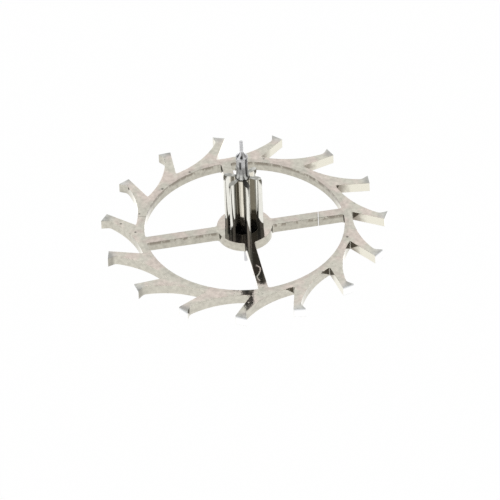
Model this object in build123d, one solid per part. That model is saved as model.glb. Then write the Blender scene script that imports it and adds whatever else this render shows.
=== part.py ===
from build123d import *
import os
from math import asin, cos, degrees, hypot, radians, sin

# Escape wheel of a pocket watch: a steel wheel with club teeth, staked on its six-leaf pinion.
# Millimetres and degrees. The origin is the end of the lower pivot, on the axis.
# +Z runs along the axis to the upper pivot, and the wheel's own pinion side faces up.

# Heights along the axis, from the lower pivot's end upwards
lower_pivot_length = 0.39
lower_cone_length = 0.20
lower_arbor_length = 0.32
rivet_height = 0.05
wheel_thickness = 0.29
leaf_length = 1.77
upper_arbor_length = 0.73
upper_cone_length = 0.23
upper_pivot_length = 0.29

# Teeth of the wheel, all leaning clockwise seen from above
tooth_count = 15
heel_radius = 4.0
toe_drop = 0.115
head_depth = 0.23
toe_angle = 4.6
neck_angle = 0.6
root_angle = 2.4
belly_rise = 0.137
belly_angle = 10.4
first_heel_angle = 5.4
root_fillet = 0.03
neck_fillet = 0.15

# Rim, arms and hub of the wheel
rim_inner_radius = 2.78
rim_width = 0.24
arm_count = 4
arm_width = 0.27
arm_angle = 9.4
arm_rim_fillet = 0.06
arm_hub_fillet = 0.09
hub_radius = 0.77

# Leaves of the pinion, its seat in the wheel and the riveted lip below
leaf_count = 6
leaf_tip_radius = 0.555
leaf_shoulder_radius = 0.36
leaf_thickness = 0.145
leaf_root_radius = 0.20
leaf_root_fillet = 0.03
leaf_tip_fillet = 0.02
leaf_end_bevel_depth = 0.03
leaf_end_bevel_length = 0.12
first_leaf_angle = 45.4
seat_radius = 0.40
rivet_radius = 0.46

# Arbor and pivots
upper_shoulder_radius = 0.17
upper_waist_radius = 0.155
upper_foot_radius = 0.19
upper_flare_length = 0.40
lower_arbor_radius = 0.19
lower_shoulder_radius = 0.18
pivot_radius = 0.05
pivot_rounding = 0.015

# How nearly a corner's radius has to match a circle's to lie on it
same_circle_share = 1e-6

# Places that follow from the sizes above
tooth_pitch = 360 / tooth_count
root_radius = rim_inner_radius + rim_width
lower_cone_base = lower_pivot_length
lower_shoulder = lower_cone_base + lower_cone_length
rivet_base = lower_shoulder + lower_arbor_length
wheel_base = rivet_base + rivet_height
wheel_top = wheel_base + wheel_thickness
leaf_top = wheel_top + leaf_length
upper_waist = leaf_top + upper_flare_length
upper_shoulder = leaf_top + upper_arbor_length
upper_pivot_base = upper_shoulder + upper_cone_length
upper_pivot_end = upper_pivot_base + upper_pivot_length


def polar(radius, angle):
    return (radius * cos(radians(angle)), radius * sin(radians(angle)))


def corners_at(face, radius):
    # Corners of an outline that lie on the circle of this radius about the axis.
    return [
        corner
        for corner in face.vertices()
        if abs(hypot(corner.X, corner.Y) / radius - 1) < same_circle_share
    ]


def tooth_edges(heel_angle):
    # From the corner before the tooth, over its locking face, impulse face and back, to the next corner.
    root = polar(root_radius, heel_angle + root_angle)
    toe = polar(heel_radius - toe_drop, heel_angle - toe_angle)
    heel = polar(heel_radius, heel_angle)
    neck = polar(heel_radius - head_depth, heel_angle - neck_angle)
    belly = polar(root_radius + belly_rise, heel_angle + belly_angle)
    next_root = polar(root_radius, heel_angle + root_angle + tooth_pitch)
    return [Line(root, toe), Line(toe, heel), Line(heel, neck), ThreePointArc(neck, belly, next_root)]


def toothed_disc():
    edges = []
    for tooth in range(tooth_count):
        edges += tooth_edges(first_heel_angle + tooth * tooth_pitch)
    disc = make_face(edges)
    disc = fillet(corners_at(disc, root_radius), root_fillet)
    return fillet(corners_at(disc, heel_radius - head_depth), neck_fillet)


def windows():
    # The open spaces between the rim, the hub and the arms.
    space = Circle(rim_inner_radius) - Circle(hub_radius)
    for arm in range(arm_count):
        bar = Pos(rim_inner_radius / 2, 0) * Rectangle(rim_inner_radius, arm_width)
        space -= Rot(0, 0, arm_angle + arm * 360 / arm_count) * bar
    space = fillet(corners_at(space, rim_inner_radius), arm_rim_fillet)
    return fillet(corners_at(space, hub_radius), arm_hub_fillet)


def escape_wheel():
    flat = toothed_disc() - windows() - Circle(seat_radius)
    return Pos(0, 0, wheel_base) * extrude(flat, wheel_thickness)


def leaf_outline():
    # One leaf along +X: radial flanks from the axis, then two arcs that meet in a rounded tip.
    half_angle = degrees(asin(leaf_thickness / 2 / leaf_shoulder_radius))
    left = polar(leaf_shoulder_radius, half_angle)
    right = polar(leaf_shoulder_radius, -half_angle)
    tip = (leaf_tip_radius, 0)
    edges = [
        Line((0, 0), right),
        TangentArc(right, tip, tangent=right),
        TangentArc(left, tip, tangent=left),
        Line(left, (0, 0)),
    ]
    return fillet(corners_at(make_face(edges), leaf_tip_radius), leaf_tip_fillet)


def leaf_section():
    section = Circle(leaf_root_radius)
    for leaf in range(leaf_count):
        section += Rot(0, 0, first_leaf_angle + leaf * 360 / leaf_count) * leaf_outline()
    return fillet(corners_at(section, leaf_root_radius), leaf_root_fillet)


def turned(edges):
    # A half outline of (radius, height) points, turned about the axis.
    return revolve(Plane.XZ * make_face(edges), Axis.Z)


def leaf_blank():
    # The turned blank that the leaf spaces are cut in: seat, body and bevelled upper end.
    points = [
        (0, wheel_base),
        (seat_radius, wheel_base),
        (seat_radius, wheel_top),
        (leaf_tip_radius, wheel_top),
        (leaf_tip_radius, leaf_top - leaf_end_bevel_length),
        (leaf_tip_radius - leaf_end_bevel_depth, leaf_top),
        (0, leaf_top),
    ]
    return turned(Polyline(points, close=True))


def leaves():
    bar = Pos(0, 0, wheel_base) * extrude(leaf_section(), leaf_top - wheel_base)
    return bar & leaf_blank()


def pivot_end(height, inward):
    # The rounded end of a pivot at this height; inward is 1 where the pivot runs up from it, else -1.
    flat_edge = (pivot_radius - pivot_rounding, height)
    side = (pivot_radius, height + inward * pivot_rounding)
    return flat_edge, side


def arbor():
    # Both pivots, the trumpet-shaped cones, the riveted lip, and the arbor that runs through the leaves.
    low_flat, low_side = pivot_end(0, 1)
    high_flat, high_side = pivot_end(upper_pivot_end, -1)
    low_cone = (pivot_radius, lower_cone_base)
    low_shoulder = (lower_shoulder_radius, lower_shoulder)
    low_top = (lower_arbor_radius, rivet_base)
    lip_low = (rivet_radius, rivet_base)
    lip_high = (rivet_radius, wheel_base)
    core = (upper_foot_radius, wheel_base)
    foot = (upper_foot_radius, leaf_top)
    waist = (upper_waist_radius, upper_waist)
    high_shoulder = (upper_shoulder_radius, upper_shoulder)
    high_cone = (pivot_radius, upper_pivot_base)
    edges = [
        Line((0, 0), low_flat),
        TangentArc(low_flat, low_side, tangent=(1, 0)),
        Line(low_side, low_cone),
        TangentArc(low_cone, low_shoulder, tangent=(0, 1)),
        Line(low_shoulder, low_top),
        Line(low_top, lip_low),
        Line(lip_low, lip_high),
        Line(lip_high, core),
        Line(core, foot),
        TangentArc(waist, foot, tangent=(0, -1)),
        Line(waist, high_shoulder),
        TangentArc(high_cone, high_shoulder, tangent=(0, -1)),
        Line(high_cone, high_side),
        TangentArc(high_flat, high_side, tangent=(1, 0)),
        Line(high_flat, (0, upper_pivot_end)),
        Line((0, upper_pivot_end), (0, 0)),
    ]
    return turned(edges)


def escape_pinion():
    return leaves() + arbor()


os.makedirs("parts", exist_ok=True)
export_step(escape_wheel(), "parts/escape_wheel.step")
export_step(escape_pinion(), "parts/escape_pinion.step")
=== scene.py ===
"""Escape wheel of a pocket watch on its pinion: a polished steel wheel with club teeth, seen from above."""

import logging
import math
from collections.abc import Callable
from dataclasses import dataclass
from enum import Enum
from functools import cache, cached_property

import bmesh
import bpy
from bmesh.types import BMEdge, BMesh, BMFace, BMVert
from mathutils import Matrix, Vector


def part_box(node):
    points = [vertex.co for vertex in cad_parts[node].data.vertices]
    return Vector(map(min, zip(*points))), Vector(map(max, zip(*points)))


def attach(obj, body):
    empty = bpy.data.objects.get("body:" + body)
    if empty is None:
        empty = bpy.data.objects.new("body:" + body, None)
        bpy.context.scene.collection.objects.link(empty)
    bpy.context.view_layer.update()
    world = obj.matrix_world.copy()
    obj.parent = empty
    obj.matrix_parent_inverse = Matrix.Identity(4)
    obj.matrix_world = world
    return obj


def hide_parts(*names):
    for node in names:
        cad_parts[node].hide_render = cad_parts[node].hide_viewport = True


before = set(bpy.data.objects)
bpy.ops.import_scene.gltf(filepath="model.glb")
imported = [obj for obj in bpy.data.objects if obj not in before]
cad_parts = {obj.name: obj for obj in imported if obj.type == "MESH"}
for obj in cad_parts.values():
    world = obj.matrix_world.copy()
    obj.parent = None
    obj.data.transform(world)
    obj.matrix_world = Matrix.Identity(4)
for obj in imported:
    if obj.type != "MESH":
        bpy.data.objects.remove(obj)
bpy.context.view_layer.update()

MM = 0.001
AXIS = Vector((0, 0, 0))
OUTWARDS = Vector((1, 0, 0))
UPWARDS = Vector((0, 1, 0))
MERGE_DISTANCE = 1e-5
SAME_PLACE = 1e-4
CUT_DISTANCE = 1e-6
FEWEST_ARC_STEPS = 2
CORNER_STEPS = 6
CORNER_TURN = math.radians(15)
CORNER_MARGIN = 1.05
SHARP_TURN = math.radians(25)
FLAT_NORMAL = 0.99
UPRIGHT_NORMAL = 0.1
NOISE_MIDDLE = 0.5
log = logging.getLogger("escape_wheel")

Span = tuple[float, float]


class Slot(Enum):
    """The record's material slots."""

    WHEEL = "wheel_steel"
    PINION = "pinion_steel"


class Mark(Enum):
    """Face attributes that say where a surface was worked in a way of its own."""

    CUT_WALL = "cut_wall"
    ROUNDED_EDGE = "rounded_edge"
    WORKED_FACE = "worked_face"
    ROOT_CORNER = "root_corner"
    LEAF_END = "leaf_end"


@cache
def wheel_heights() -> Span:
    """The heights of the wheel's underside and top in the frame, in millimetres."""
    low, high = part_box("escape_wheel")
    return low.z / MM, high.z / MM


def polar(radius: float, angle: float, height: float = 0.0) -> Vector:
    """The point at this radius and angle in degrees about the axis, in the unit of the radius."""
    turn = math.radians(angle)
    return Vector((radius * math.cos(turn), radius * math.sin(turn), height))


def at(radius: float, height: float) -> Vector:
    """A point of half an outline, with its distance from the axis along X and its height along Y."""
    return Vector((radius, height, 0))


def of_kind(items: list, kind: type) -> list:
    """The items of one kind, such as the faces among what an operator made."""
    return [item for item in items if isinstance(item, kind)]


class Outline:
    """A line of edges in the XY plane, in millimetres, drawn from one point to the next."""

    def __init__(self, start: Vector, arc_step: float) -> None:
        """Starts the line.

        Args:
            start: The first point.
            arc_step: The longest step of an arc, in degrees of its own turn.
        """
        self.bm = bmesh.new()
        self.arc_step = arc_step
        self.tip = self.bm.verts.new(start)

    def line_to(self, end: Vector) -> None:
        """Draws a straight side to its end."""
        self.tip = bmesh.ops.extrude_vert_indiv(self.bm, verts=[self.tip])["verts"][0]
        self.tip.co = end

    def turn_about(self, centre: Vector, degrees: float) -> None:
        """Draws an arc from the tip about a centre.

        Args:
            centre: The arc's centre.
            degrees: How far it turns, anticlockwise where it is positive.
        """
        steps = max(FEWEST_ARC_STEPS, math.ceil(abs(degrees) / self.arc_step))
        made = bmesh.ops.spin(
            self.bm, geom=[self.tip], cent=centre, axis=(0, 0, 1), dvec=(0, 0, 0),
            angle=math.radians(degrees), steps=steps, use_duplicate=False,
        )
        self.tip = made["geom_last"][0]

    def arc_through(self, middle: Vector, end: Vector) -> None:
        """Draws an arc from the tip over a middle point to its end.

        Args:
            middle: Any point between the two ends.
            end: The arc's end.
        """
        first, second = middle - self.tip.co, end - self.tip.co
        area = 2 * (first.x * second.y - first.y * second.x)
        x = (second.y * first.length_squared - first.y * second.length_squared) / area
        y = (first.x * second.length_squared - second.x * first.length_squared) / area
        to_centre = Vector((x, y, 0))
        turn = (second - to_centre).to_2d().angle_signed(-to_centre.to_2d())
        self.turn_about(self.tip.co + to_centre, math.degrees(turn))

    def arc_along(self, direction: Vector, end: Vector) -> None:
        """Draws an arc that leaves the tip along a direction.

        Args:
            direction: The way that it leaves.
            end: The arc's end.
        """
        chord = end - self.tip.co
        across = Vector((-direction.y, direction.x, 0)).normalized()
        radius = chord.length_squared / 2 / chord.dot(across)
        turn = 2 * math.degrees(direction.to_2d().angle_signed(chord.to_2d()))
        self.turn_about(self.tip.co + across * radius, -turn)

    def mirror_in_x(self) -> None:
        """Adds the mirror image of the line across the X axis."""
        bmesh.ops.mirror(
            self.bm, geom=self.bm.verts[:] + self.bm.edges[:], matrix=Matrix(), merge_dist=MERGE_DISTANCE,
            axis="Y",
        )

    def repeat(self, count: int, first_angle: float) -> None:
        """Turns the line to its first place about the axis and adds equally spaced copies.

        Args:
            count: How many there are in all.
            first_angle: Where the first one stands, in degrees.
        """
        one = self.bm.verts[:] + self.bm.edges[:]
        for copy in range(count):
            made = bmesh.ops.duplicate(self.bm, geom=one)["geom"] if copy else one
            angle = copy * 360 / count if copy else first_angle
            turn = Matrix.Rotation(math.radians(angle), 3, "Z")
            bmesh.ops.rotate(self.bm, verts=of_kind(made, BMVert), cent=AXIS, matrix=turn)
        bmesh.ops.remove_doubles(self.bm, verts=self.bm.verts[:], dist=MERGE_DISTANCE)

    def round_corners(self, corner_radius: float, fillet: float) -> None:
        """Rounds each sharp corner that lies at this radius about the axis.

        Args:
            corner_radius: The corners' distance from the axis.
            fillet: The radius of the rounding.
        """
        corners = [
            vert for vert in self.bm.verts
            if abs(vert.co.to_2d().length - corner_radius) < SAME_PLACE
            and vert.calc_edge_angle() > CORNER_TURN
        ]
        for corner in corners:
            reach = fillet * math.tan(corner.calc_edge_angle() / 2)
            near = [
                vert for vert in self.bm.verts
                if vert is not corner and (vert.co - corner.co).length < reach * CORNER_MARGIN
            ]
            bmesh.ops.dissolve_verts(self.bm, verts=near)
            bmesh.ops.bevel(
                self.bm, geom=[corner], offset=reach, offset_type="OFFSET", segments=CORNER_STEPS,
                profile=0.5, affect="VERTICES", material=-1,
            )


def add_circle(bm: BMesh, radius: float, height: float, sides: int) -> None:
    """Adds an open circle of edges about the axis."""
    place = Matrix.Translation((0, 0, height))
    bmesh.ops.create_circle(bm, cap_ends=False, radius=radius, segments=sides, matrix=place)


def join(bm: BMesh, other: BMesh) -> None:
    """Adds all of another mesh to a mesh.

    Args:
        bm: The mesh.
        other: The other one, which is used up.
    """
    mesh = bpy.data.meshes.new("joined")
    other.to_mesh(mesh)
    other.free()
    bm.from_mesh(mesh)
    bpy.data.meshes.remove(mesh)


def fill(bm: BMesh, edges: list[BMEdge]) -> list[BMFace]:
    """Fills the flat space between closed lines and returns its faces."""
    made = bmesh.ops.triangle_fill(bm, use_beauty=True, use_dissolve=False, edges=edges, normal=(0, 0, 1))
    return of_kind(made["geom"], BMFace)


def raised(bm: BMesh, faces: list[BMFace], rise: float) -> list[BMFace]:
    """Extrudes faces upwards.

    Args:
        bm: The mesh.
        faces: The faces.
        rise: How far they go.

    Returns:
        The moved faces.
    """
    moved = of_kind(bmesh.ops.extrude_face_region(bm, geom=faces)["geom"], BMFace)
    bmesh.ops.translate(bm, verts=list({vert for face in moved for vert in face.verts}), vec=(0, 0, rise))
    return moved


def round_edge(bm: BMesh, cap: list[BMFace], radius: float, steps: int) -> None:
    """Rounds the edge between a flat cap and the wall around it, outwards from the wall's end.

    Args:
        bm: The mesh.
        cap: The faces of the cap, which end up one radius further out.
        radius: The radius of the rounding.
        steps: How many strips it gets.
    """
    before = Vector((0, 0))
    for step in range(1, steps + 1):
        turn = math.pi / 2 * step / steps
        here = Vector((1 - math.cos(turn), math.sin(turn))) * radius
        inward, outward = here - before
        bmesh.ops.inset_region(
            bm, faces=cap, thickness=inward, depth=outward, use_boundary=True, use_even_offset=True,
        )
        before = here


def new_object(name: str, bm: BMesh) -> bpy.types.Object:
    """Turns a mesh in millimetres into an object of the scene.

    Args:
        name: The object's name.
        bm: The mesh, which is used up.

    Returns:
        The object.
    """
    bmesh.ops.scale(bm, vec=(MM, MM, MM), verts=bm.verts[:])
    mesh = bpy.data.meshes.new(name)
    bm.to_mesh(mesh)
    bm.free()
    made = bpy.data.objects.new(name, mesh)
    bpy.context.scene.collection.objects.link(made)
    return made


def finished(name: str, bm: BMesh, body: str, nodes: list[str]) -> bpy.types.Object:
    """Turns a mesh in millimetres into a piece of the part.

    Args:
        name: The piece's name.
        bm: The mesh, which is used up.
        body: The body that it rides on.
        nodes: The CAD nodes that it stands for.

    Returns:
        The piece.
    """
    piece = new_object(name, bm)
    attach(piece, body)
    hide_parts(*nodes)
    return piece


def mark(bm: BMesh, name: Mark, belongs: Callable[[BMFace], bool]) -> None:
    """Writes a face attribute that is 1 on the faces that belong and 0 elsewhere.

    Args:
        bm: The mesh.
        name: The attribute.
        belongs: Tells whether a face belongs.
    """
    layer = bm.faces.layers.float.new(name.value)
    for face in bm.faces:
        face[layer] = float(belongs(face))


def sharpen(bm: BMesh, tilt: float = 1.0) -> None:
    """Keeps the edges with a large turn sharp and makes the others smooth.

    Args:
        bm: The mesh.
        tilt: The change of the normal's upward part from which an edge is sharp whatever its turn.
    """
    for edge in bm.edges:
        near, far = (face.normal.z for face in edge.link_faces)
        edge.smooth = edge.calc_face_angle() < SHARP_TURN and abs(near - far) < tilt


@dataclass
class EscapeWheel:
    """The flat wheel: club teeth, rim, arms and hub, in millimetres and degrees."""

    body: str = "root"
    tooth_count: int = 15
    heel_radius: float = 4.0
    toe_drop: float = 0.115
    head_depth: float = 0.23
    toe_angle: float = 4.6
    neck_angle: float = 0.6
    root_angle: float = 2.4
    belly_rise: float = 0.137
    belly_angle: float = 10.4
    first_heel_angle: float = 5.4
    root_fillet: float = 0.03
    neck_fillet: float = 0.15
    rim_inner_radius: float = 2.78
    rim_width: float = 0.24
    arm_count: int = 4
    arm_width: float = 0.27
    arm_angle: float = 9.4
    arm_rim_fillet: float = 0.06
    arm_hub_fillet: float = 0.09
    hub_radius: float = 0.77
    bore_radius: float = 0.40
    bore_sides: int = 96
    arc_step: float = 2.5
    edge_radius: float = 0.008
    edge_steps: int = 3
    slide_angle: float = 15.0
    lock_angle: float = 125.0

    @property
    def root_radius(self) -> float:
        """Where the spaces between the teeth end."""
        return self.rim_inner_radius + self.rim_width

    @property
    def rim_middle_radius(self) -> float:
        """The middle of the rim."""
        return self.rim_inner_radius + self.rim_width / 2

    @property
    def toe_radius(self) -> float:
        """Where a tooth's locking face ends and its impulse face starts."""
        return self.heel_radius - self.toe_drop

    def teeth(self) -> Outline:
        """Draws the closed line round all the teeth.

        Returns:
            The line.
        """
        root, neck_radius = self.root_radius, self.heel_radius - self.head_depth
        line = Outline(polar(root, self.root_angle), self.arc_step)
        line.line_to(polar(self.toe_radius, -self.toe_angle))
        line.line_to(polar(self.heel_radius, 0))
        line.line_to(polar(neck_radius, -self.neck_angle))
        next_root = polar(root, self.root_angle + 360 / self.tooth_count)
        line.arc_through(polar(root + self.belly_rise, self.belly_angle), next_root)
        line.repeat(self.tooth_count, self.first_heel_angle)
        line.round_corners(root, self.root_fillet)
        line.round_corners(neck_radius, self.neck_fillet)
        return line

    def windows(self) -> Outline:
        """Draws the closed lines round the open spaces between the arms.

        Returns:
            The lines.
        """
        half = self.arm_width / 2
        hub_half = math.degrees(math.asin(half / self.hub_radius))
        rim_half = math.degrees(math.asin(half / self.rim_inner_radius))
        space = 360 / self.arm_count
        line = Outline(polar(self.hub_radius, hub_half), self.arc_step)
        line.line_to(polar(self.rim_inner_radius, rim_half))
        line.turn_about(AXIS, space - 2 * rim_half)
        line.line_to(polar(self.hub_radius, space - hub_half))
        line.turn_about(AXIS, 2 * hub_half - space)
        line.repeat(self.arm_count, self.arm_angle)
        line.round_corners(self.rim_inner_radius, self.arm_rim_fillet)
        line.round_corners(self.hub_radius, self.arm_hub_fillet)
        return line

    def build(self) -> bpy.types.Object:
        """Builds the wheel between the heights of its CAD node.

        Returns:
            The piece.
        """
        low, high = wheel_heights()
        bm = bmesh.new()
        join(bm, self.teeth().bm)
        join(bm, self.windows().bm)
        add_circle(bm, self.bore_radius, 0, self.bore_sides)
        bottom = fill(bm, bm.edges[:])
        bmesh.ops.translate(bm, verts=bm.verts[:], vec=(0, 0, low + self.edge_radius))
        top = raised(bm, bottom, high - low - 2 * self.edge_radius)
        bmesh.ops.recalc_face_normals(bm, faces=bm.faces[:])
        for cap in (top, bottom):
            round_edge(bm, cap, self.edge_radius, self.edge_steps)
        caps = set(top + bottom)
        for face in bm.faces:
            face.smooth = face not in caps
        sharpen(bm, tilt=UPRIGHT_NORMAL)
        mark(bm, Mark.CUT_WALL, self.is_wall)
        mark(bm, Mark.ROUNDED_EDGE, lambda face: UPRIGHT_NORMAL <= abs(face.normal.z) < FLAT_NORMAL)
        mark(bm, Mark.WORKED_FACE, self.is_worked)
        mark(bm, Mark.ROOT_CORNER, self.is_root_corner)
        return finished("wheel", bm, self.body, ["escape_wheel"])

    def is_wall(self, face: BMFace) -> bool:
        """Tells whether a face stands upright."""
        return abs(face.normal.z) < UPRIGHT_NORMAL

    def is_root_corner(self, face: BMFace) -> bool:
        """Tells whether a face is one of the narrow ones in the corner before a tooth."""
        narrow = self.is_wall(face) and min(edge.calc_length() for edge in face.edges) < self.root_fillet / 2
        return narrow and abs(face.calc_center_median().to_2d().length - self.root_radius) < self.root_fillet

    def is_worked(self, face: BMFace) -> bool:
        """Tells whether a face is a tooth's locking or impulse face, which are the polished walls.

        Args:
            face: The face.

        Returns:
            Whether it is.
        """
        centre = face.calc_center_median()
        if not self.is_wall(face) or centre.to_2d().length < self.root_radius + self.root_fillet:
            return False
        heading = math.degrees(math.atan2(face.normal.y, face.normal.x) - math.atan2(centre.y, centre.x))
        turned_back = (-heading) % 360
        return self.slide_angle < turned_back < self.lock_angle


@dataclass
class EscapePinion:
    """The pinion and its arbor, turned and cut from one rod, in millimetres and degrees."""

    body: str = "root"
    leaf_count: int = 6
    tip_radius: float = 0.555
    shoulder_radius: float = 0.36
    leaf_thickness: float = 0.145
    root_radius: float = 0.20
    root_fillet: float = 0.03
    tip_fillet: float = 0.02
    bevel_depth: float = 0.03
    bevel_length: float = 0.12
    end_break: float = 0.012
    end_break_steps: int = 2
    first_leaf_angle: float = 45.4
    seat_radius: float = 0.40
    rivet_radius: float = 0.46
    rivet_height: float = 0.05
    leaf_length: float = 1.77
    foot_radius: float = 0.19
    waist_radius: float = 0.155
    flare_length: float = 0.40
    shoulder_top_radius: float = 0.17
    shoulder_rounding: float = 0.025
    arbor_length: float = 0.73
    cone_length: float = 0.23
    pivot_radius: float = 0.05
    pivot_rounding: float = 0.015
    lower_pivot_length: float = 0.39
    lower_cone_length: float = 0.20
    lower_shoulder_radius: float = 0.18
    lower_arbor_radius: float = 0.19
    round_sides: int = 96
    arc_step: float = 3.0
    core_margin: float = 0.005

    @property
    def leaves_low(self) -> float:
        """Where the leaves stand on the wheel."""
        return wheel_heights()[1]

    @property
    def leaves_high(self) -> float:
        """Where the leaves end."""
        return self.leaves_low + self.leaf_length

    @property
    def waist_height(self) -> float:
        """Where the arbor is thinnest."""
        return self.leaves_high + self.flare_length

    @property
    def shoulder_height(self) -> float:
        """Where the upper cone starts."""
        return self.leaves_high + self.arbor_length

    def leaf_line(self) -> Outline:
        """Draws the closed line round all the leaves.

        Returns:
            The line.
        """
        half_pitch = 180 / self.leaf_count
        half_angle = math.degrees(math.asin(self.leaf_thickness / 2 / self.shoulder_radius))
        flank = polar(1, -half_angle)
        line = Outline(polar(self.root_radius, -half_pitch), self.arc_step)
        line.turn_about(AXIS, half_pitch - half_angle)
        line.line_to(flank * self.shoulder_radius)
        line.arc_along(flank, polar(self.tip_radius, 0))
        line.mirror_in_x()
        line.repeat(self.leaf_count, self.first_leaf_angle)
        line.round_corners(self.root_radius, self.root_fillet)
        line.round_corners(self.tip_radius, self.tip_fillet)
        return line

    def walls(self, bm: BMesh) -> None:
        """Draws the leaves' walls downwards from their upper end, then their seat in the wheel.

        Args:
            bm: The mesh, which holds the closed line of the leaves at their upper end.
        """
        seat_low, seat_high = wheel_heights()
        rings = ((seat_high, None), (seat_high, self.seat_radius), (seat_low, self.seat_radius))
        edges = bm.edges[:]
        reach = self.tip_radius
        for height, limit in rings:
            made = bmesh.ops.extrude_edge_only(bm, edges=edges)["geom"]
            verts = of_kind(made, BMVert)
            edges = [edge for edge in of_kind(made, BMEdge) if all(vert in verts for vert in edge.verts)]
            for vert in verts:
                vert.co.z = height
                radius = vert.co.to_2d().length
                if limit and (radius > limit or radius > reach - SAME_PLACE):
                    vert.co.xy *= limit / radius
            reach = limit or reach

    def upper_profile(self) -> Outline:
        """Draws half the outline of the upper pivot, its cone and the arbor down to the leaves.

        Returns:
            The line, with the radius along X and the height along Y.
        """
        high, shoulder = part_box("escape_pinion")[1].z / MM, self.shoulder_height
        line = Outline(at(0, high), self.arc_step)
        line.line_to(at(self.pivot_radius - self.pivot_rounding, high))
        line.arc_along(OUTWARDS, at(self.pivot_radius, high - self.pivot_rounding))
        line.line_to(at(self.pivot_radius, shoulder + self.cone_length))
        line.arc_along(-UPWARDS, at(self.shoulder_top_radius - self.shoulder_rounding, shoulder))
        line.arc_along(OUTWARDS, at(self.shoulder_top_radius, shoulder - self.shoulder_rounding))
        line.line_to(at(self.waist_radius, self.waist_height))
        line.arc_along(-UPWARDS, at(self.foot_radius, self.leaves_high))
        return line

    def lower_profile(self) -> Outline:
        """Draws half the outline of the lower pivot, its cone, the arbor and the riveted lip.

        Returns:
            The line, with the radius along X and the height along Y.
        """
        seat_low = wheel_heights()[0]
        low = seat_low - self.rivet_height
        line = Outline(AXIS, self.arc_step)
        line.line_to(at(self.pivot_radius - self.pivot_rounding, 0))
        line.arc_along(OUTWARDS, at(self.pivot_radius, self.pivot_rounding))
        line.line_to(at(self.pivot_radius, self.lower_pivot_length))
        shoulder = self.lower_pivot_length + self.lower_cone_length
        line.arc_along(UPWARDS, at(self.lower_shoulder_radius, shoulder))
        line.line_to(at(self.lower_arbor_radius, low))
        line.line_to(at(self.rivet_radius, low))
        line.line_to(at(self.rivet_radius, seat_low))
        return line

    def turned(self, profile: Outline) -> BMesh:
        """Sweeps half an outline about the axis.

        Args:
            profile: The half outline, which is used up.

        Returns:
            The surface.
        """
        bm = profile.bm
        bmesh.ops.rotate(bm, verts=bm.verts[:], cent=AXIS, matrix=Matrix.Rotation(math.pi / 2, 3, "X"))
        bmesh.ops.spin(
            bm, geom=bm.verts[:] + bm.edges[:], cent=AXIS, axis=(0, 0, 1), dvec=(0, 0, 0),
            angle=2 * math.pi, steps=self.round_sides, use_merge=True, use_duplicate=False,
        )
        bmesh.ops.remove_doubles(bm, verts=bm.verts[:], dist=MERGE_DISTANCE)
        return bm

    def bevel_leaf_ends(self, bm: BMesh) -> None:
        """Cuts the bevelled facet at the upper end of each leaf.

        Args:
            bm: The mesh.
        """
        for leaf in range(self.leaf_count):
            angle = self.first_leaf_angle + leaf * 360 / self.leaf_count
            normal = polar(self.bevel_length, angle, self.bevel_depth).normalized()
            corner = polar(self.tip_radius - self.bevel_depth, angle, self.leaves_high)
            cut = bmesh.ops.bisect_plane(
                bm, geom=bm.verts[:] + bm.edges[:] + bm.faces[:], dist=CUT_DISTANCE, plane_co=corner,
                plane_no=normal, clear_outer=True,
            )["geom_cut"]
            bmesh.ops.edgenet_fill(
                bm, edges=of_kind(cut, BMEdge), mat_nr=0, use_smooth=False, sides=0,
            )

    def build(self) -> bpy.types.Object:
        """Builds the pinion between the heights of its CAD node and of the wheel's.

        Returns:
            The piece.
        """
        bm = bmesh.new()
        join(bm, self.leaf_line().bm)
        bmesh.ops.translate(bm, verts=bm.verts[:], vec=(0, 0, self.leaves_high))
        self.walls(bm)
        ends = ((self.leaves_high, self.foot_radius), (wheel_heights()[0], self.rivet_radius))
        for height, radius in ends:
            add_circle(bm, radius, height, self.round_sides)
            fill(bm, [
                edge for edge in bm.edges
                if all(abs(vert.co.z - height) < MERGE_DISTANCE for vert in edge.verts)
            ])
        self.bevel_leaf_ends(bm)
        for profile in (self.upper_profile(), self.lower_profile()):
            join(bm, self.turned(profile))
        bmesh.ops.remove_doubles(bm, verts=bm.verts[:], dist=2 * MERGE_DISTANCE)
        bmesh.ops.recalc_face_normals(bm, faces=bm.faces[:])
        for face in bm.faces:
            face.smooth = abs(face.normal.z) < FLAT_NORMAL
        sharpen(bm)
        self.break_leaf_edges(bm)
        mark(bm, Mark.LEAF_END, self.is_leaf_end)
        return finished("pinion", bm, self.body, ["escape_pinion"])

    def break_leaf_edges(self, bm: BMesh) -> None:
        """Breaks the edges round the leaves' upper ends.

        Args:
            bm: The mesh.
        """
        ends = {face for face in bm.faces if self.is_leaf_end(face)}
        inner = self.root_radius - self.core_margin
        edges = [
            edge for edge in bm.edges
            if sum(face in ends for face in edge.link_faces) == 1
            and min(vert.co.to_2d().length for vert in edge.verts) > inner
        ]
        bmesh.ops.bevel(
            bm, geom=edges, offset=self.end_break, offset_type="OFFSET", segments=self.end_break_steps,
            profile=0.5, affect="EDGES", clamp_overlap=True, material=-1,
        )

    def is_leaf_end(self, face: BMFace) -> bool:
        """Tells whether a face belongs to the leaves' upper ends or their bevels.

        Args:
            face: The face.

        Returns:
            Whether it does.
        """
        centre = face.calc_center_median()
        if not self.leaves_high - self.bevel_length <= centre.z <= self.leaves_high + SAME_PLACE:
            return False
        return face.normal.z > UPRIGHT_NORMAL and centre.to_2d().length > self.root_radius


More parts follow.
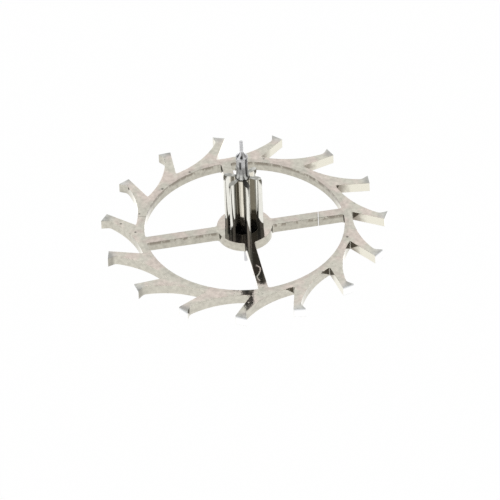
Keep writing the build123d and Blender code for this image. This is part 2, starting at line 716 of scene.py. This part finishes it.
class Socket:
    """An output socket that adds the nodes of the sums that it is used in."""

    def __init__(self, nodes: "Nodes", socket: bpy.types.NodeSocket | None) -> None:
        """Wraps a socket of a node tree."""
        self.nodes = nodes
        self.socket = socket

    def maths(self, operation: str, *values: "Socket | float") -> "Socket":
        """Adds a Math node with these values as its inputs, or with this alone."""
        inputs = dict(enumerate(values or (self,)))
        return self.nodes.add("ShaderNodeMath", {"operation": operation}, inputs)

    def __add__(self, other: "Socket | float") -> "Socket":
        """This plus another value."""
        return self.maths("ADD", self, other)

    def __sub__(self, other: "Socket | float") -> "Socket":
        """This less another value."""
        return self.maths("SUBTRACT", self, other)

    def __mul__(self, other: "Socket | float") -> "Socket":
        """This times another value."""
        return self.maths("MULTIPLY", self, other)

    def __rsub__(self, other: float) -> "Socket":
        """A number less this."""
        return self.maths("SUBTRACT", other, self)

    __radd__ = __add__
    __rmul__ = __mul__

    def aside(self, middle: float, span: Span) -> "Socket":
        """1 near a middle and 0 away from it, where the span is how far from it the change lies."""
        return (self - middle).maths("ABSOLUTE").before(span)

    def beside(self, output: str) -> "Socket":
        """Another output of the same node."""
        return Socket(self.nodes, self.socket.node.outputs[output])

    def between(self, low: float, high: float) -> "Socket":
        """0 where this is at most low, 1 where it is at least high, and smooth between them."""
        inputs = {"Value": self, "From Min": low, "From Max": high}
        return self.nodes.add("ShaderNodeMapRange", {"interpolation_type": "SMOOTHSTEP"}, inputs)

    def after(self, span: Span, origin: float = 0.0) -> "Socket":
        """0 before a span and 1 after it, where the span is given from an origin."""
        return self.between(origin + span[0], origin + span[1])

    def before(self, span: Span, origin: float = 0.0) -> "Socket":
        """1 before a span and 0 after it, where the span is given from an origin."""
        return 1 - self.after(span, origin)

    def past(self, place: float, fade: float) -> "Socket":
        """0 before a place and 1 after it, with a soft step that reaches so far to each side."""
        return self.between(place - fade, place + fade)


@dataclass(frozen=True)
class Patches:
    """Soft patches: their scale, the noise levels where they start and are full, and the noise's detail."""

    scale: float
    start: float
    full: float
    detail: float = 2.0


@dataclass(frozen=True)
class Dots:
    """Scattered dots: how many a millimetre could hold, their radius there, and what share there is."""

    scale: float
    size: float
    share: float
    core: float = 0.4
    share_fade: float = 0.02


class Nodes:
    """The node tree of a material or of the world, built from expressions."""

    def __init__(self, owner: bpy.types.Material | bpy.types.World) -> None:
        """Empties the tree.

        Args:
            owner: The material or world.
        """
        owner.use_nodes = True
        self.owner = owner
        self.tree = owner.node_tree
        self.tree.nodes.clear()

    def add(
        self, kind: str, settings: dict | None = None, inputs: dict | None = None, output: str | int = 0,
    ) -> Socket:
        """Adds a node.

        Args:
            kind: The node's type.
            settings: Its settings, such as a Math node's operation.
            inputs: The values or links of its sockets, by name or number.
            output: The output socket that is wanted.

        Returns:
            The wanted output.
        """
        node = self.tree.nodes.new(kind)
        for name, value in (settings or {}).items():
            setattr(node, name, value)
        for name, value in (inputs or {}).items():
            if isinstance(value, Socket):
                self.tree.links.new(value.socket, node.inputs[name])
            else:
                node.inputs[name].default_value = value
        return Socket(self, node.outputs[output] if node.outputs else None)

    @cached_property
    def place(self) -> Socket:
        """The place on the piece in millimetres."""
        coordinates = self.add("ShaderNodeTexCoord", output="Object")
        return self.add("ShaderNodeVectorMath", {"operation": "SCALE"}, {0: coordinates, "Scale": 1 / MM})

    @cached_property
    def height(self) -> Socket:
        """The height above the lower pivot's end in millimetres."""
        return self.part("Z")

    @cached_property
    def radius(self) -> Socket:
        """The distance from the axis in millimetres."""
        flat = self.add("ShaderNodeVectorMath", {"operation": "MULTIPLY"}, {0: self.place, 1: (1, 1, 0)})
        return self.add("ShaderNodeVectorMath", {"operation": "LENGTH"}, {0: flat}, "Value")

    def part(self, axis: str, vector: Socket | None = None) -> Socket:
        """One part of a vector, or else of the place."""
        return self.add("ShaderNodeSeparateXYZ", {}, {0: vector or self.place}, axis)

    def along(self, angle: float) -> Socket:
        """How far the place lies from the axis towards an angle, in millimetres."""
        return self.dot(self.place, polar(1, angle))

    def towards(self, angle: float) -> Socket:
        """The cosine of the turn between the place and an angle, seen along the axis."""
        return self.along(angle).maths("DIVIDE", self.along(angle), self.radius)

    def dot(self, first: Socket, second: Vector) -> Socket:
        """How far a vector reaches along another of length 1."""
        return self.add("ShaderNodeVectorMath", {"operation": "DOT_PRODUCT"}, {0: first, 1: second}, "Value")

    def noise(self, vector: Socket, scale: float, detail: float = 2.0) -> Socket:
        """Soft noise from 0 to 1."""
        return self.add("ShaderNodeTexNoise", {}, {"Vector": vector, "Scale": scale, "Detail": detail})

    def patches(self, patches: Patches) -> Socket:
        """Soft patches from 0 to 1 over the piece."""
        return self.noise(self.place, patches.scale, patches.detail).between(patches.start, patches.full)

    def dots(self, dots: Dots) -> Socket:
        """Scatters dots over the piece.

        Args:
            dots: Their sizes.

        Returns:
            1 in the middle of each and 0 between them.
        """
        cells = self.add("ShaderNodeTexVoronoi", {}, {"Vector": self.place, "Scale": dots.scale}, "Distance")
        chosen = 1 - self.part("X", cells.beside("Color")).past(dots.share, dots.share_fade)
        return chosen * (1 - cells.between(dots.size * dots.core, dots.size))

    def attribute(self, name: Mark) -> Socket:
        """The value of a face attribute."""
        return self.add("ShaderNodeAttribute", {"attribute_name": name.value}, {}, "Fac")

    def mix(self, share: Socket | float, first: "Tone", second: "Tone") -> Socket:
        """A colour between two."""
        settings = {"data_type": "RGBA"}
        return self.add("ShaderNodeMix", settings, {0: share, 6: as_input(first), 7: as_input(second)}, 2)

    def shade(self, colour: Socket, share: Socket) -> Socket:
        """A colour multiplied by a number."""
        return self.add("ShaderNodeVectorMath", {"operation": "SCALE"}, {0: colour, "Scale": share})

    def relief(self, height: Socket, distance: float) -> Socket:
        """The normals of a surface with this relief, where a height of 1 is a distance in metres."""
        return self.add("ShaderNodeBump", {}, {"Strength": 1.0, "Distance": distance, "Height": height})

    def finish(self, colour: Socket, metallic: float, roughness: Socket, normal: Socket) -> None:
        """Adds the shader of a metal and its output."""
        look = {"Base Color": colour, "Metallic": metallic, "Roughness": roughness, "Normal": normal}
        self.add("ShaderNodeOutputMaterial", {}, {"Surface": self.add("ShaderNodeBsdfPrincipled", {}, look)})


Colour = tuple[float, float, float]
Tone = Socket | Colour


def as_input(tone: Tone) -> Socket | tuple[float, float, float, float]:
    """A tone as a colour socket takes it."""
    return tone if isinstance(tone, Socket) else (*tone, 1.0)


@dataclass(frozen=True)
class WheelSteel:
    """Flat-polished steel with mottled tints and pits, spotted walls and polished tooth faces."""

    wheel: EscapeWheel
    name: str = "wheel_polish"
    metallic: float = 0.97
    fade: float = 0.01
    pink: Colour = (0.66, 0.585, 0.525)
    green: Colour = (0.60, 0.58, 0.505)
    head: Colour = (0.54, 0.545, 0.52)
    inner_wall: Colour = (0.535, 0.51, 0.435)
    outer_wall: Colour = (0.585, 0.56, 0.485)
    spot_tone: Colour = (0.16, 0.125, 0.095)
    # painted shade at the locking faces' roots and painted light towards their tips
    lock_root_shade: Colour = (0.33, 0.295, 0.245)
    lock_tip_light: Colour = (0.82, 0.79, 0.68)
    # the impulse faces are painted pure white as a painted highlight, with painted shade along their top
    impulse: Colour = (1.0, 1.0, 1.0)
    impulse_top_shade: Colour = (0.55, 0.56, 0.57)
    tint: Patches = Patches(2.2, 0.38, 0.62)
    head_start: float = 3.6
    grain_scale: float = 9.0
    grain_swing: float = 0.6
    pits: Dots = Dots(2.6, 0.13, 0.6)
    pit_dark: float = 0.65
    arm_fade: Span = (0.0, 0.05)
    arm_dark: float = 0.08
    smudge: Patches = Patches(1.7, 0.45, 0.65)
    smudge_fade: Span = (3.65, 3.9)
    smudge_dark: float = 0.35
    # painted highlight: the rounded edges of the outer rim and teeth are painted brighter
    edge_highlight: float = 0.35
    lock_fade: Span = (3.1, 3.45)
    lock_scale: float = 6.0
    lock_ragged: float = 0.35
    lock_shift: float = 0.17
    impulse_fade: Span = (-0.09, -0.01)
    spot_share: float = 0.65
    spot_band: Span = (-0.14, -0.05)
    spot_start: Span = (0.0, 0.1)
    spot_end: Span = (0.02, 0.07)
    spot_levels: Span = (0.43, 0.60)
    spot_scale: float = 5.0
    spot_detail: float = 3.0
    spot_growth: float = 0.08
    spot_growth_span: Span = (2.0, 2.7)
    tick_pitch: float = 0.085
    tick_swing: float = 0.035
    mark_place: float = 2.055
    mark_middle: float = 0.33
    mark_end: Span = (0.3, 0.32)
    mark_core: Span = (0.004, 0.018)
    # the tool mark is a real mark, painted nearly white as a painted glint
    mark_glint_share: float = 0.8
    halo_core: Span = (0.03, 0.06)
    halo_dark: float = 0.15
    scratch_angle: float = 168.5
    scratch_width: Span = (0.005, 0.016)
    scratch_side: Span = (-2.0, -1.9)
    scratch_start: Span = (2.7, 2.75)
    scratch_end: Span = (3.04, 3.06)
    scratch_dark: float = 0.45
    scuff_angle: float = -80.6
    scuff_start: float = 1.75
    scuff_end: float = 2.42
    scuff_fade: float = 0.02
    scuff_width: Span = (0.012, 0.026)
    scuff_swing: float = 0.075
    scuff_half_wave: float = 0.37
    scuff_scale: float = 6.0
    scuff_wander: float = 0.06
    ring_offset: float = 0.01
    ring_width: Span = (0.01, 0.02)
    rubbed: Patches = Patches(8.0, 0.62, 0.70, 1.0)
    broken: Patches = Patches(7.0, 0.42, 0.52, 1.0)
    rough: float = 0.015
    grain_rough: float = 0.03
    wall_rough: float = 0.05
    rubbed_rough: float = 0.2
    edge_rough: float = 0.55
    ring_rough: float = 0.3
    corner_rough: float = 0.4
    scuff_rough: float = 0.6
    dish: float = 0.03
    relief_scale: float = 30.0
    relief_height: float = 4e-7

    @cached_property
    def nodes(self) -> Nodes:
        """The material's node tree."""
        return Nodes(bpy.data.materials.new(self.name))

    @cached_property
    def outer(self) -> Socket:
        """1 outside the middle of the rim."""
        return self.nodes.radius.past(self.wheel.rim_middle_radius, self.fade)

    @cached_property
    def plain(self) -> Socket:
        """0 on the polished tooth faces and 1 elsewhere."""
        return 1 - self.nodes.attribute(Mark.WORKED_FACE)

    def material(self) -> bpy.types.Material:
        """Makes the material.

        Returns:
            The material.
        """
        nodes = self.nodes
        outer, plain = self.outer, self.plain
        wall = nodes.attribute(Mark.CUT_WALL)
        edge = nodes.attribute(Mark.ROUNDED_EDGE)
        grain = nodes.noise(nodes.place, self.grain_scale)
        pits = nodes.dots(self.pits) * (1 - wall)
        arms = nodes.radius.after(self.arm_fade, self.wheel.hub_radius) * (1 - outer)
        smudge = nodes.radius.after(self.smudge_fade) * nodes.patches(self.smudge) * plain
        level = 1 + self.grain_swing * (grain - NOISE_MIDDLE) * plain
        shades = (
            self.pit_dark * pits,
            self.arm_dark * arms,
            self.scratch_dark * self.scratch(),
            self.smudge_dark * smudge,
            self.halo_dark * self.cut_mark(self.halo_core),
        )
        for shade in shades:
            level = level * (1 - shade)
        # The rounded edges outside the rim's middle get a painted highlight.
        colour = nodes.shade(self.ground(wall), level * (1 + self.edge_highlight * edge * outer))
        # Dark brown spots along the upper part of the inner walls.
        colour = nodes.mix(self.spot_share * (self.wall_spots() * wall), colour, self.spot_tone)
        # The tool mark across one arm is a real mark, painted nearly white as a painted glint.
        colour = nodes.mix(self.mark_glint_share * self.cut_mark(self.mark_core), colour, self.impulse)
        roughness = self.rough + self.grain_rough * grain
        dullness = (
            (self.wall_rough, wall),
            (self.rubbed_rough, nodes.patches(self.rubbed) * plain),
            (self.edge_rough, edge * (nodes.patches(self.broken) * (1 - outer) + outer)),
            (self.ring_rough, nodes.radius.aside(self.wheel.bore_radius + self.ring_offset, self.ring_width)),
            (self.corner_rough, nodes.attribute(Mark.ROOT_CORNER)),
            (self.scuff_rough, self.scuff()),
        )
        for dull, where in dullness:
            roughness = roughness + dull * where
        rise = self.dish * MM / self.relief_height * nodes.radius
        height = nodes.noise(nodes.place, self.relief_scale) - pits + rise
        nodes.finish(colour, self.metallic, roughness, nodes.relief(height, self.relief_height))
        return nodes.owner

    def ground(self, wall: Socket) -> Socket:
        """Mixes the colours of the flats, the walls and the polished tooth faces.

        Args:
            wall: 1 on the walls.

        Returns:
            The colour.
        """
        nodes = self.nodes
        flat = nodes.mix(nodes.patches(self.tint), self.pink, self.green)
        flat = nodes.mix(nodes.radius.between(self.head_start, self.wheel.heel_radius), flat, self.head)
        sides = nodes.mix(self.outer, self.inner_wall, self.outer_wall)
        return nodes.mix(self.plain, self.tooth_face(), nodes.mix(wall, flat, sides))

    def tooth_face(self) -> Socket:
        """Mixes the colours of the locking faces, with painted shade at the root and painted light towards
        the tip, and of the impulse faces.

        Returns:
            The colour.
        """
        nodes = self.nodes
        ragged = nodes.radius + self.lock_ragged * nodes.noise(nodes.place, self.lock_scale) - self.lock_shift
        # Painted shade at the root of each locking face, painted light towards its tip.
        lock = nodes.mix(ragged.after(self.lock_fade), self.lock_root_shade, self.lock_tip_light)
        # The impulse faces are painted white as a painted highlight, with painted shade along their top.
        upper = nodes.height.after(self.impulse_fade, wheel_heights()[1])
        impulse = nodes.mix(upper, self.impulse, self.impulse_top_shade)
        return nodes.mix(nodes.radius.past(self.wheel.toe_radius, self.fade), lock, impulse)

    def wall_spots(self) -> Socket:
        """Makes the dark spots along the upper part of the inner walls, outside the hub.

        Returns:
            1 in the spots.
        """
        nodes = self.nodes
        band = nodes.height.after(self.spot_band, wheel_heights()[1])
        inner = nodes.radius.after(self.spot_start, self.wheel.hub_radius)
        inner = inner * nodes.radius.before(self.spot_end, self.wheel.rim_inner_radius)
        ragged = nodes.noise(nodes.place, self.spot_scale, self.spot_detail)
        ragged = ragged + self.spot_growth * nodes.radius.after(self.spot_growth_span)
        ticks = (2 * math.pi / self.tick_pitch * nodes.part("X")).maths("SINE")
        return band * inner * (ragged + self.tick_swing * ticks).after(self.spot_levels)

    def cut_mark(self, core: Span) -> Socket:
        """1 in the mark across one arm, at every height, where core is how far to its side it fades."""
        line = self.nodes.part("X").aside(self.mark_place, core)
        return line * self.nodes.part("Y").aside(self.mark_middle, self.mark_end)

    def scuff(self) -> Socket:
        """Makes the winding scuff along one arm.

        Returns:
            1 in the scuff.
        """
        nodes = self.nodes
        along = nodes.along(self.scuff_angle)
        wave = (math.pi / self.scuff_half_wave * (along - self.scuff_start)).maths("SINE")
        wander = self.scuff_wander * (nodes.noise(nodes.place, self.scuff_scale) - NOISE_MIDDLE)
        off = nodes.along(self.scuff_angle + 90) - self.scuff_swing * wave + wander
        stretch = along.after((-self.scuff_fade, 0.0), self.scuff_start)
        stretch = stretch * along.before((0.0, self.scuff_fade), self.scuff_end)
        return off.aside(0.0, self.scuff_width) * stretch

    def scratch(self) -> Socket:
        """Makes the hairline scratch across the rim.

        Returns:
            1 in the scratch.
        """
        nodes = self.nodes
        line = nodes.along(self.scratch_angle - 90).aside(0.0, self.scratch_width)
        line = line * nodes.radius.after(self.scratch_start) * nodes.radius.before(self.scratch_end)
        return line * nodes.part("X").before(self.scratch_side)


@dataclass(frozen=True)
class ReflectionStreak:
    """A dark streak up the arbor's barrel, painted in as a reflection, by its angle and the heights where it
    starts and ends.
    """

    angle: float
    low: float
    high: float


@dataclass(frozen=True)
class PinionSteel:
    """Mirror-polished steel: warm on the leaves, neutral on the satin barrel, duller at the leaf ends."""

    pinion: EscapePinion
    name: str = "pinion_polish"
    metallic: float = 0.97
    fade: float = 0.01
    polish: Colour = (0.80, 0.79, 0.73)
    arbor: Colour = (0.62, 0.62, 0.63)
    barrel: Colour = (0.76, 0.76, 0.76)
    waist: Colour = (0.44, 0.44, 0.43)
    flare: Colour = (0.74, 0.75, 0.72)
    # painted shade: the leaf spaces are painted darker and browner than the leaves
    space: Colour = (0.76, 0.72, 0.62)
    end_dark: Colour = (0.36, 0.36, 0.33)
    end_light: Colour = (0.64, 0.64, 0.60)
    # painted shade on the bevels at the leaf tips, and on the leaf end at the shaded angle
    end_tip_shade: Colour = (0.10, 0.10, 0.09)
    end_shaded: Colour = (0.15, 0.145, 0.135)
    end_patches: Patches = Patches(5.0, 0.42, 0.60)
    end_tip_fade: Span = (-0.04, -0.01)
    shaded_angle: float = -74.6
    shaded_turns: Span = (35.0, 25.0)
    space_fade: Span = (0.33, 0.39)
    barrel_end: Span = (-0.04, -0.01)
    waist_fade: Span = (-0.03, 0.06)
    flare_fade: Span = (-0.28, -0.18)
    # painted reflections up the barrel, at fixed angles
    streaks: tuple[ReflectionStreak, ...] = (ReflectionStreak(-109.0, 3.38, 3.64), ReflectionStreak(-46.0, 3.1, 3.75))
    streak_fade: float = 0.03
    streak_turns: Span = (15.0, 7.0)
    painted_streak_dark: float = 0.85
    # painted shade round the arbor's foot
    foot_shade_drop: float = 0.045
    foot_shade_top: Span = (0.005, 0.015)
    foot_shade_radius: float = 0.21
    foot_shade_fade: float = 0.005
    foot_shade_dark: float = 0.75
    line_angles: tuple[float, ...] = (167.4, 175.2, 227.8, 236.5)
    line_width: Span = (0.012, 0.020)
    line_side: Span = (0.0, 0.1)
    line_top: Span = (1.5, 1.6)
    line_dark: float = 0.85
    grain_scale: float = 9.0
    grain_detail: float = 3.0
    level: float = 0.9
    grain_swing: float = 0.2
    rough: float = 0.02
    grain_rough: float = 0.04
    end_rough: float = 0.16
    space_rough: float = 0.03
    barrel_rough: float = 0.30
    ring_scale: float = 60.0
    relief_height: float = 2e-7

    @cached_property
    def nodes(self) -> Nodes:
        """The material's node tree."""
        return Nodes(bpy.data.materials.new(self.name))

    def material(self) -> bpy.types.Material:
        """Makes the material.

        Returns:
            The material.
        """
        nodes = self.nodes
        leaves_low, leaves_high = self.pinion.leaves_low, self.pinion.leaves_high
        above = nodes.height.past(leaves_high, self.fade)
        leaves = nodes.height.between(leaves_low - self.fade, leaves_low) - above
        barrel = above * nodes.height.before(self.barrel_end, self.pinion.shoulder_height)
        space = leaves * nodes.radius.before(self.space_fade)
        end = nodes.attribute(Mark.LEAF_END)
        grain = nodes.noise(nodes.place, self.grain_scale, self.grain_detail)
        level = self.level + self.grain_swing * grain
        streaks = sum(self.streak(streak) for streak in self.streaks)
        lines = sum(self.line(angle) for angle in self.line_angles)
        shades = (
            # Painted reflections: dark streaks up the barrel.
            self.painted_streak_dark * streaks * barrel,
            # Painted shade round the arbor's foot.
            self.foot_shade_dark * self.foot_shade(),
            self.line_dark * lines * leaves,
        )
        for shade in shades:
            level = level * (1 - shade)
        # The spaces between the leaves get a darker, browner colour: painted shade.
        body = nodes.mix(leaves, self.arbor_tone(barrel), nodes.mix(space, self.polish, self.space))
        colour = nodes.shade(nodes.mix(end, body, self.end_tone()), level)
        roughness = self.rough + self.grain_rough * grain + self.end_rough * end
        roughness = roughness + self.space_rough * space + self.barrel_rough * barrel
        turned = nodes.add("ShaderNodeCombineXYZ", {}, {"X": nodes.radius, "Z": nodes.height})
        rings = nodes.noise(turned, self.ring_scale)
        nodes.finish(colour, self.metallic, roughness, nodes.relief(rings, self.relief_height))
        return nodes.owner

    def arbor_tone(self, barrel: Socket) -> Socket:
        """Mixes the colours of the arbor: barrel, waist and flare above the leaves, and the rest.

        Args:
            barrel: 1 between the leaves and the upper cone.

        Returns:
            The colour.
        """
        low = self.nodes.height.before(self.waist_fade, self.pinion.waist_height)
        foot = self.nodes.height.before(self.flare_fade, self.pinion.waist_height)
        satin = self.nodes.mix(low, self.barrel, self.nodes.mix(foot, self.waist, self.flare))
        return self.nodes.mix(barrel, self.arbor, satin)

    def end_tone(self) -> Socket:
        """Mixes the colours of the leaves' upper ends, with painted shade on the bevelled tips and on the
        shaded side.

        Returns:
            The colour.
        """
        nodes = self.nodes
        patchy = nodes.mix(nodes.patches(self.end_patches), self.end_dark, self.end_light)
        inside = nodes.height.after(self.end_tip_fade, self.pinion.leaves_high)
        # Painted shade on the lower part of the bevels.
        patchy = nodes.mix(inside, self.end_tip_shade, patchy)
        # Painted shade on the leaf end that faces the shaded angle.
        return nodes.mix(self.near(self.shaded_angle, self.shaded_turns), patchy, self.end_shaded)

    def near(self, angle: float, turns: Span) -> Socket:
        """0 beyond the first turn from an angle about the axis and 1 within the second, in degrees."""
        return self.nodes.towards(angle).between(*(math.cos(math.radians(turn)) for turn in turns))

    def foot_shade(self) -> Socket:
        """Makes the ring of painted shade round the arbor's foot, where it meets the leaf ends.

        Returns:
            1 in the ring.
        """
        height, high = self.nodes.height, self.pinion.leaves_high
        ring = height.past(high - self.foot_shade_drop, self.foot_shade_fade) * height.before(self.foot_shade_top, high)
        return ring * (1 - self.nodes.radius.past(self.foot_shade_radius, self.foot_shade_fade))

    def line(self, angle: float) -> Socket:
        """1 in a fine dark line along the foot of a leaf, an estimate of how a reflection looks there."""
        line = self.nodes.along(angle + 90).aside(0.0, self.line_width)
        return self.nodes.along(angle).after(self.line_side) * line * self.nodes.height.before(self.line_top)

    def streak(self, streak: ReflectionStreak) -> Socket:
        """1 in a dark streak along the barrel, a painted reflection that keeps its angle on the part.
        1 in a dark streak along the barrel, whose cause on the real part isn't known.
        """
        low, high = (self.nodes.height.past(end, self.streak_fade) for end in (streak.low, streak.high))
        return low * (1 - high) * self.near(streak.angle, self.streak_turns)


@dataclass(frozen=True)
class Shade:
    """A round grey patch of the light tent, by where it stands as seen from the part, in degrees.

    It is full grey as far as its core and gone at its reach. One for echoes only shows in the second and
    further reflections alone.
    """

    azimuth: float
    elevation: float
    core: float
    reach: float
    tone: Colour
    echoes_only: bool = False


@dataclass(frozen=True)
class Studio:
    """A white light tent with a dark opening for the camera, over a pale floor."""

    floor_drop: float = 25.0
    floor_radius: float = 65.0
    floor_sides: int = 128
    floor_colour: Colour = (0.9, 0.9, 0.9)
    glow_share: float = 0.85
    glow_strength: float = 1.05
    bright_all: float = 0.12
    bright_start: float = 20.0
    bright_end: float = 35.0
    bright_rise: float = 0.75
    tent_colour: Colour = (1.0, 1.0, 1.0)
    echo: float = 0.31
    echo_floor: float = 0.05
    second_echo: Span = (2.4, 2.6)
    shades: tuple[Shade, ...] = (
        Shade(155, 5, 12, 38, (0.13, 0.13, 0.13)),
        Shade(10, 8, 20, 48, (0.40, 0.39, 0.38)),
        Shade(-72, 8, 20, 44, (0.38, 0.37, 0.36)),
        Shade(-100, 42, 15, 34, (0.05, 0.05, 0.045)),
        Shade(-50, 40, 10, 32, (0.30, 0.30, 0.29), echoes_only=True),
    )

    def echo_level(self, nodes: Nodes, first: int) -> Socket:
        """How bright the surroundings look in steel after several reflections in a row.

        The first reflection is 1 and each further one is dimmed by a set share. That is staging, chosen to
        match the photograph's dark parts, and other light doesn't do it.

        Args:
            nodes: The tree that gets the nodes.
            first: The depth that Light Path gives at the end of a first reflection.

        Returns:
            The level, from 1 downwards.
        """
        depth = nodes.add("ShaderNodeLightPath", output="Ray Depth")
        further = depth.maths("MAXIMUM", depth - first, 0.0)
        level = further.maths("POWER", self.echo, further)
        return level.maths("MAXIMUM", level, self.echo_floor)

    def build_floor(self) -> None:
        """Lays the floor and gives it a face that shows white and still takes a shadow."""
        bm = bmesh.new()
        place = Matrix.Translation((0, 0, -self.floor_drop))
        bmesh.ops.create_circle(
            bm, cap_ends=True, radius=self.floor_radius, segments=self.floor_sides, matrix=place,
        )
        floor = new_object("floor", bm)
        nodes = Nodes(bpy.data.materials.new("pale_floor"))
        matt = nodes.add("ShaderNodeBsdfDiffuse", {}, {"Color": (*self.floor_colour, 1)})
        seen = nodes.add("ShaderNodeLightPath", output="Is Camera Ray")
        behind = nodes.part("Y").between(self.bright_start, self.bright_end)
        rise = (self.bright_all + self.bright_rise * behind) * (1 - seen)
        level = (1 + rise) * self.echo_level(nodes, 1)
        colour = nodes.add("ShaderNodeCombineXYZ", {}, {"X": level, "Y": level, "Z": level})
        glow = nodes.add("ShaderNodeEmission", {}, {"Color": colour, "Strength": self.glow_strength})
        mirrored = nodes.add("ShaderNodeLightPath", output="Is Glossy Ray")
        share = self.glow_share * seen.maths("MAXIMUM", seen, mirrored)
        face = nodes.add("ShaderNodeMixShader", {}, {0: share, 1: matt, 2: glow})
        nodes.add("ShaderNodeOutputMaterial", {}, {"Surface": face})
        floor.data.materials.append(nodes.owner)

    def build_light(self) -> None:
        """Lights the scene from the tent all round, which the camera itself sees plain white."""
        nodes = Nodes(bpy.data.worlds.new("tent"))
        bpy.context.scene.world = nodes.owner
        way = nodes.add("ShaderNodeTexCoord", output="Generated")
        seen = nodes.add("ShaderNodeLightPath", output="Is Camera Ray")
        again = nodes.add("ShaderNodeLightPath", output="Ray Depth").after(self.second_echo)
        colour: Tone = self.tent_colour
        for shade in self.shades:
            rise = math.radians(shade.elevation)
            middle = polar(math.cos(rise), shade.azimuth, math.sin(rise))
            facing = nodes.dot(way, middle)
            reach, core = (math.cos(math.radians(angle)) for angle in (shade.reach, shade.core))
            shown = facing.between(reach, core) * (again if shade.echoes_only else 1 - seen)
            colour = nodes.mix(shown, colour, shade.tone)
        level = self.echo_level(nodes, 2)
        light = nodes.add("ShaderNodeBackground", {}, {"Color": colour, "Strength": level})
        nodes.add("ShaderNodeOutputWorld", {}, {"Surface": light})


@dataclass(frozen=True)
class Camera:
    """The photograph's viewpoint, in millimetres and degrees."""

    elevation: float = 39.795
    roll: float = -2.359
    distance: float = 349.3
    lens: float = 906.5
    aim_right: float = 0.152
    aim_down: float = 0.679
    clip_start: float = 10.0

    def build(self, target: Vector) -> None:
        """Places the camera so that the target stands a little up and left of the picture's middle.

        Args:
            target: The point that the photograph shows beside its middle, in millimetres.
        """
        rise = math.radians(self.elevation)
        back = Vector((0, -math.cos(rise), math.sin(rise)))
        level_up = back.cross(Vector((1, 0, 0)))
        turn = math.radians(self.roll)
        right = Vector((math.cos(turn), 0, 0)) + level_up * math.sin(turn)
        up = back.cross(right)
        aim = target + right * self.aim_right - up * self.aim_down
        place = Matrix((right, up, back)).transposed().to_4x4()
        place.translation = (aim + back * self.distance) * MM
        camera = bpy.data.objects.new("camera", bpy.data.cameras.new("camera"))
        camera.data.lens = self.lens
        camera.data.clip_start = self.clip_start * MM
        camera.matrix_world = place
        bpy.context.scene.collection.objects.link(camera)
        bpy.context.scene.camera = camera


def main() -> None:
    """Builds the part, its finish and the studio."""
    logging.basicConfig(level=logging.INFO, format="%(name)s: %(message)s")
    wheel, pinion = EscapeWheel(), EscapePinion()
    for shape, finish in ((wheel, WheelSteel(wheel)), (pinion, PinionSteel(pinion))):
        piece = shape.build()
        piece.data.materials.append(finish.material())
        log.info("%s: %d faces", piece.name, len(piece.data.polygons))
    studio = Studio()
    studio.build_floor()
    studio.build_light()
    Camera().build(Vector((0, 0, wheel_heights()[1])))
    bpy.context.scene.view_settings.view_transform = "Standard"


if __name__ == "__main__":
    main()
